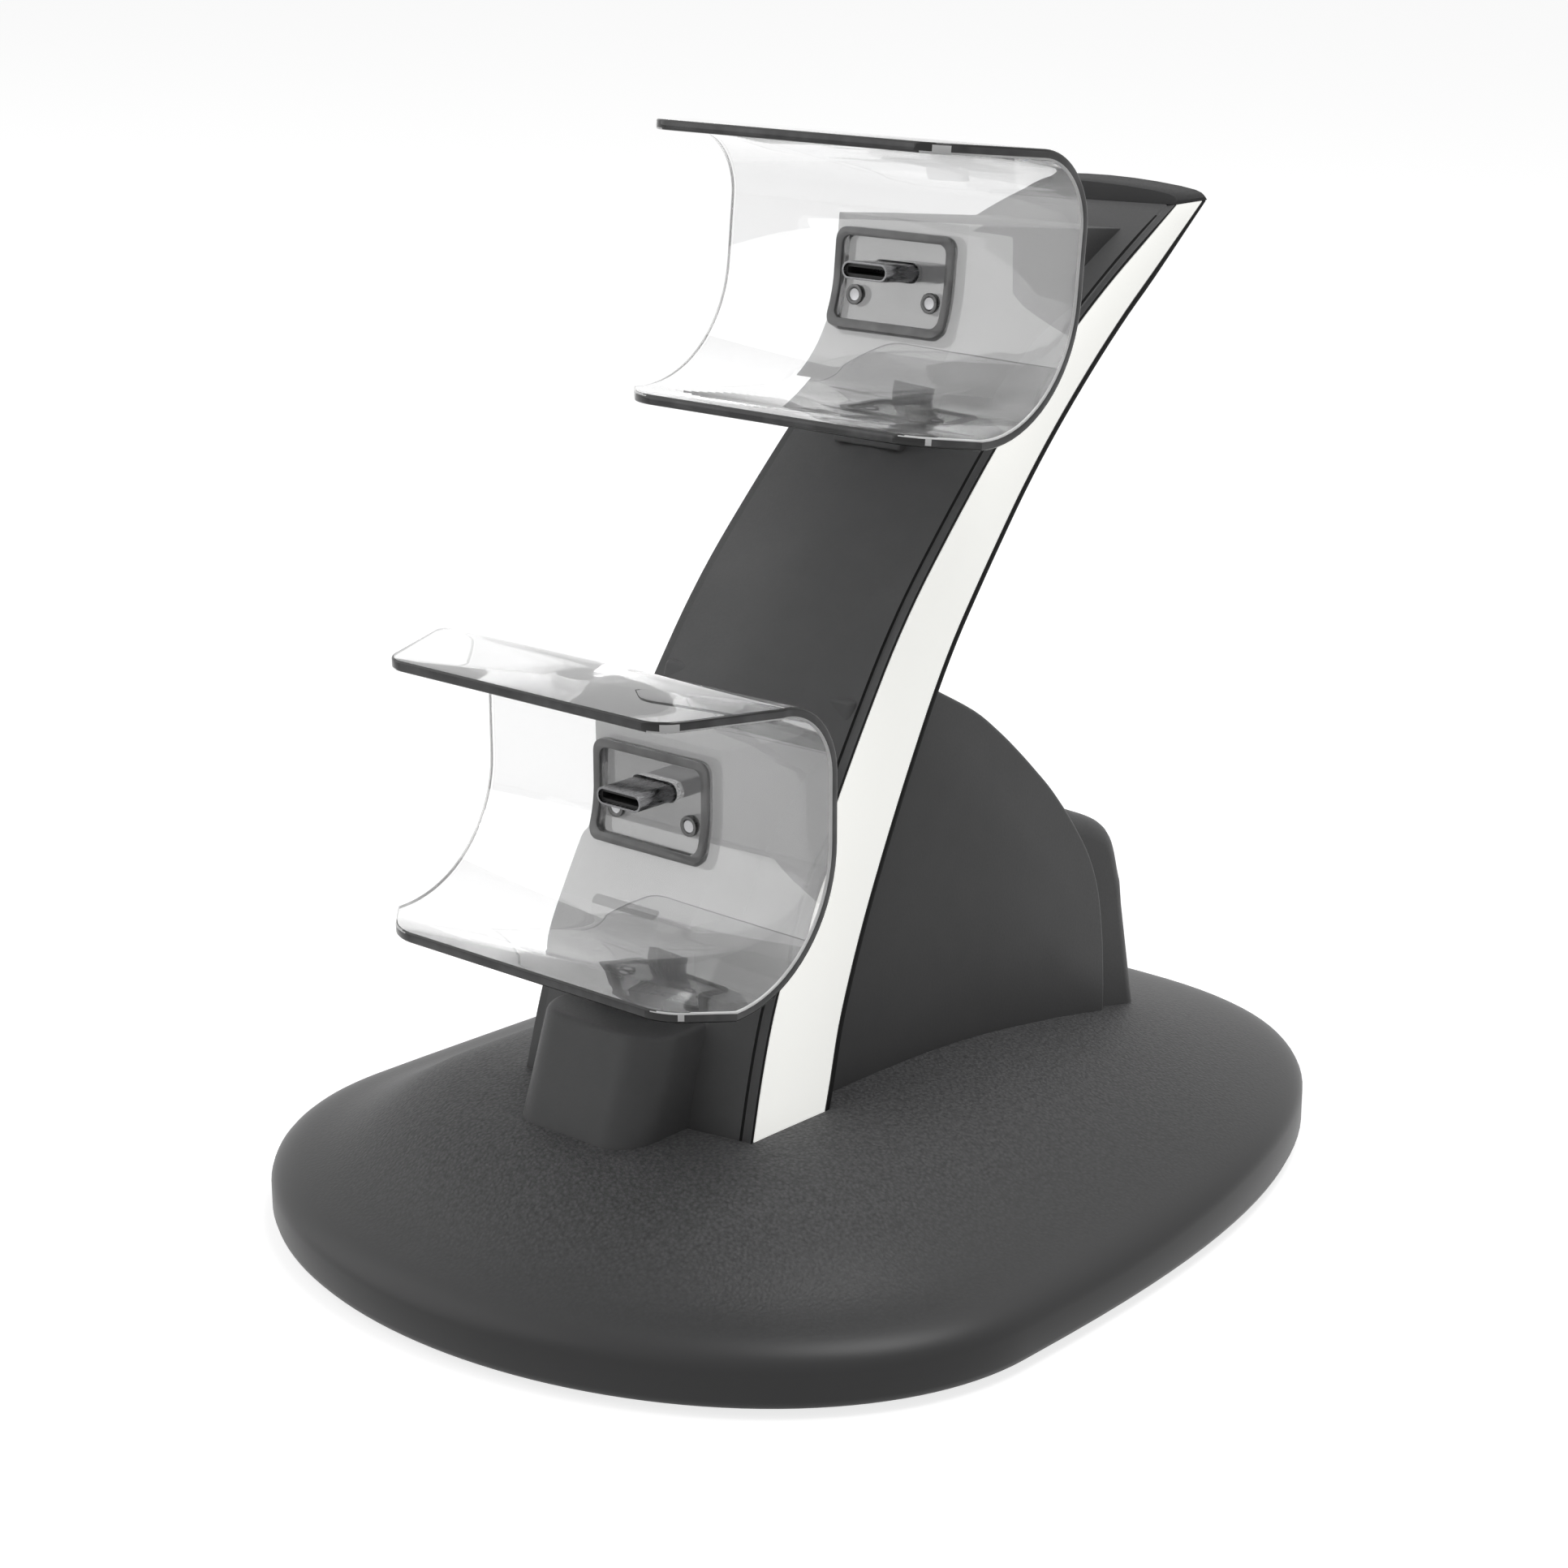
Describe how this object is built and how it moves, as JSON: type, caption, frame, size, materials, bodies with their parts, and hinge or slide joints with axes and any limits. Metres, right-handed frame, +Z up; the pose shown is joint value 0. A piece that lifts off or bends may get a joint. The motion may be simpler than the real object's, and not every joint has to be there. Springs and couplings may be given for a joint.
{
  "type": "game controller charging dock",
  "caption": "Two-tier stand with clear C-shaped cradles, a USB-C plug in each, on a curved leaning upright with side light strips, over a weighted domed base",
  "frame": {"origin": "centre of the footprint on the plane of the rubber feet", "axes": "+Z up, -Y is the front, where the cradles open, +X to the right seen from the front of the dock"},
  "size_m": [0.1308, 0.169, 0.1566],
  "materials": {
    "charcoal_plastic": "matte",
    "grained_plastic": "fine grain, matte",
    "clear_sheet": "clear moulded plastic sheet, polished",
    "diffuser": "milky, satin",
    "plug_metal": "plain plated",
    "plug_plastic": "black, satin",
    "plate_plastic": "clear moulded plastic with a smoky border, polished",
    "rubber": "matte",
    "circuit_board": "green solder mask",
    "steel": "plain",
    "harness": "flat ribbon cable"
  },
  "bodies": {
    "root": {"base_cover": "grained_plastic", "base_plate": "charcoal_plastic", "base_screws": "steel", "foot_front_left": "rubber", "foot_front_right": "rubber", "foot_rear_left": "rubber", "foot_rear_right": "rubber", "steel_weight": "steel", "board_standoffs": "plug_plastic", "main_board": "circuit_board", "upright_front_shell": "charcoal_plastic", "upright_rear_shell": "charcoal_plastic", "light_strip_left": "diffuser", "light_strip_right": "diffuser", "led_board_left": "circuit_board", "led_board_right": "circuit_board", "upright_harness": "harness", "upright_top_cap": "charcoal_plastic", "lower_mount_block": "charcoal_plastic", "upper_mount_block": "charcoal_plastic", "lower_cradle": "clear_sheet", "upper_cradle": "clear_sheet", "front_foot_boss": "charcoal_plastic", "rear_housing": "charcoal_plastic", "power_inlet_shell": "plug_metal", "power_inlet_tongue": "plug_plastic", "power_board": "circuit_board", "lower_plug_plate": "plate_plastic", "lower_plug_shell": "plug_metal", "lower_plug_insert": "plug_plastic", "lower_plug_body": "plug_plastic", "lower_plate_screws": "steel", "lower_plug_board": "circuit_board", "upper_plug_plate": "plate_plastic", "upper_plug_shell": "plug_metal", "upper_plug_insert": "plug_plastic", "upper_plug_body": "plug_plastic", "upper_plate_screws": "steel", "upper_plug_board": "circuit_board"}
  },
  "joints": []
}
